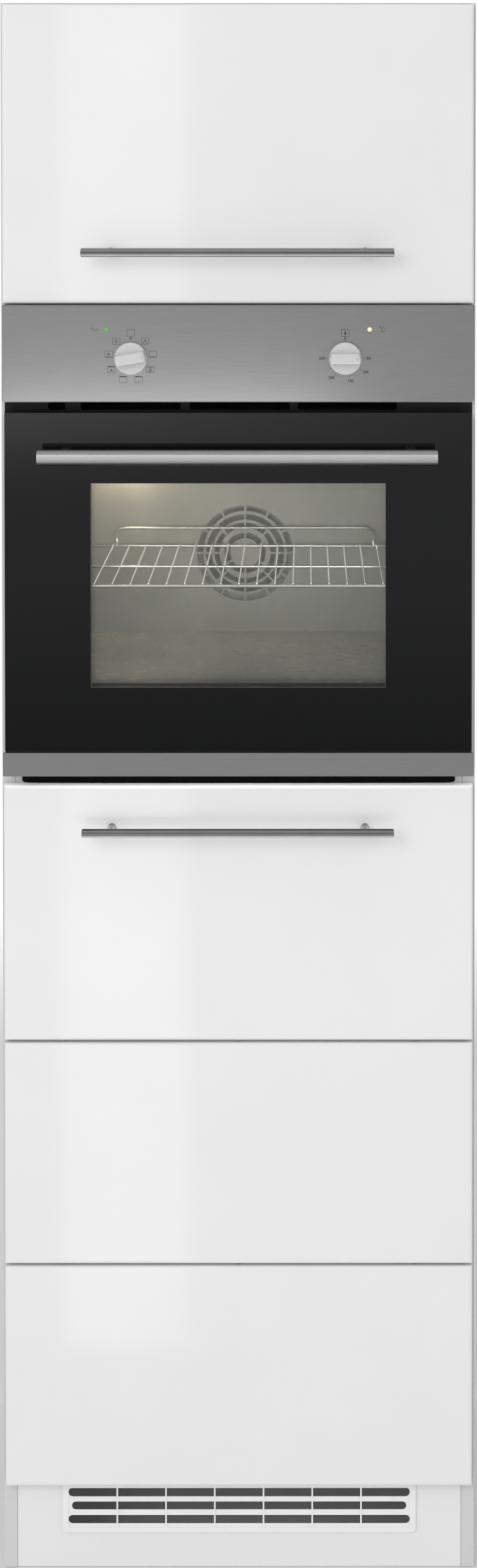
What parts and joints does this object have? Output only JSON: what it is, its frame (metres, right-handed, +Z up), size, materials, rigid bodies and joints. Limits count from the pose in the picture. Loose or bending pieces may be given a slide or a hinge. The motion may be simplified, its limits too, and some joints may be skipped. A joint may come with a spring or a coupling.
{
  "type": "tall oven housing unit",
  "caption": "Tall kitchen housing unit: built-in oven over a tall appliance niche, a lift-up flap above and a side-hung door below.",
  "frame": {"origin": "on the floor, at the middle of the unit's width and of its depth with the oven handle counted in", "axes": "+X to the right as seen from the front, +Y to the wall behind, so the fronts face -Y, +Z up"},
  "size_m": [0.6, 0.6244, 2],
  "materials": {
    "white_board": "matt white melamine",
    "grey_board": "matt light grey melamine",
    "white_gloss": "high-gloss white lacquer",
    "white_plastic": "satin white",
    "chromed_bar": "polished",
    "brushed_steel": "brushed along its length",
    "zinc": "galvanised or nickel-plated steel",
    "tie_bar": "satin anodised",
    "enamel": "speckled dark grey enamel",
    "black_metal": "satin black",
    "outer_glass": "black, clear over the window",
    "inner_glass": "clear",
    "seal": "matt",
    "black_plastic": "matt",
    "knob": "satin silver",
    "green_lens": "translucent",
    "amber_lens": "translucent"
  },
  "bodies": {
    "cabinet": {"side_panel_left": "white_board", "side_panel_right": "white_board", "bottom_panel": "white_board", "oven_shelf": "white_board", "upper_shelf": "white_board", "top_panel": "white_board", "back_panel": "grey_board", "rear_rail_oven": "grey_board", "rear_rail_top": "grey_board", "plinth_panel": "white_gloss", "vent_grille": "white_plastic", "door_hinge_arm_bottom": "zinc", "door_hinge_arm_middle": "zinc", "door_hinge_arm_top": "zinc", "flap_hinge_arm_left": "zinc", "flap_hinge_arm_right": "zinc", "oven_casing": "zinc", "oven_cavity": "enamel", "oven_front_frame": "black_metal", "door_seal": "seal", "heat_deflector": "black_metal", "control_panel": "brushed_steel", "function_switch": "black_plastic", "thermostat": "black_plastic", "power_light": "green_lens", "heat_light": "amber_lens", "fan_cover": "enamel", "fan_motor": "black_metal", "lamp_lens": "inner_glass", "grill_element": "black_metal", "side_rack_left": "chromed_bar", "side_rack_right": "chromed_bar", "wire_shelf": "chromed_bar", "mains_gland": "black_plastic", "oven_hinge_left": "zinc", "oven_hinge_right": "zinc"},
    "flap": {"flap_front": "white_gloss", "flap_handle": "chromed_bar", "flap_hinge_cup_left": "zinc", "flap_hinge_cup_right": "zinc"},
    "lower_door": {"lower_front_bottom": "white_gloss", "lower_front_middle": "white_gloss", "lower_front_top": "white_gloss", "panel_tie_bar_left": "tie_bar", "panel_tie_bar_middle": "tie_bar", "panel_tie_bar_right": "tie_bar", "door_hinge_cup_bottom": "zinc", "door_hinge_cup_middle": "zinc", "door_hinge_cup_top": "zinc", "lower_handle": "chromed_bar"},
    "oven_door": {"outer_glass": "outer_glass", "inner_glass": "inner_glass", "door_frame": "black_metal", "bottom_strip": "brushed_steel", "oven_handle": "brushed_steel"},
    "function_control": {"function_knob": "knob"},
    "thermostat_control": {"thermostat_knob": "knob"},
    "fan": {"fan_wheel": "zinc"}
  },
  "joints": [
    {"name": "flap_hinge", "type": "hinge", "parent": "cabinet", "child": "flap", "pos_m": [0, -0.25145, 1.99], "axis": [-1, 0, 0], "range_deg": [0, 90]},
    {"name": "lower_door_hinge", "type": "hinge", "parent": "cabinet", "child": "lower_door", "pos_m": [0.29, -0.25145, 0.5], "axis": [0, 0, 1], "range_deg": [0, 95]},
    {"name": "oven_door_hinge", "type": "hinge", "parent": "cabinet", "child": "oven_door", "pos_m": [0, -0.24875, 1.0276], "axis": [1, 0, 0], "range_deg": [0, 90]},
    {"name": "function_knob_turn", "type": "hinge", "parent": "cabinet", "child": "function_control", "pos_m": [-0.135, -0.27175, 1.552], "axis": [0, 1, 0], "range_deg": [-80, 240]},
    {"name": "thermostat_knob_turn", "type": "hinge", "parent": "cabinet", "child": "thermostat_control", "pos_m": [0.135, -0.27175, 1.552], "axis": [0, 1, 0], "range_deg": [-90, 180]},
    {"name": "fan_spin", "type": "hinge", "parent": "cabinet", "child": "fan", "pos_m": [0, 0.21425, 1.249], "axis": [0, 1, 0], "continuous": true}
  ]
}
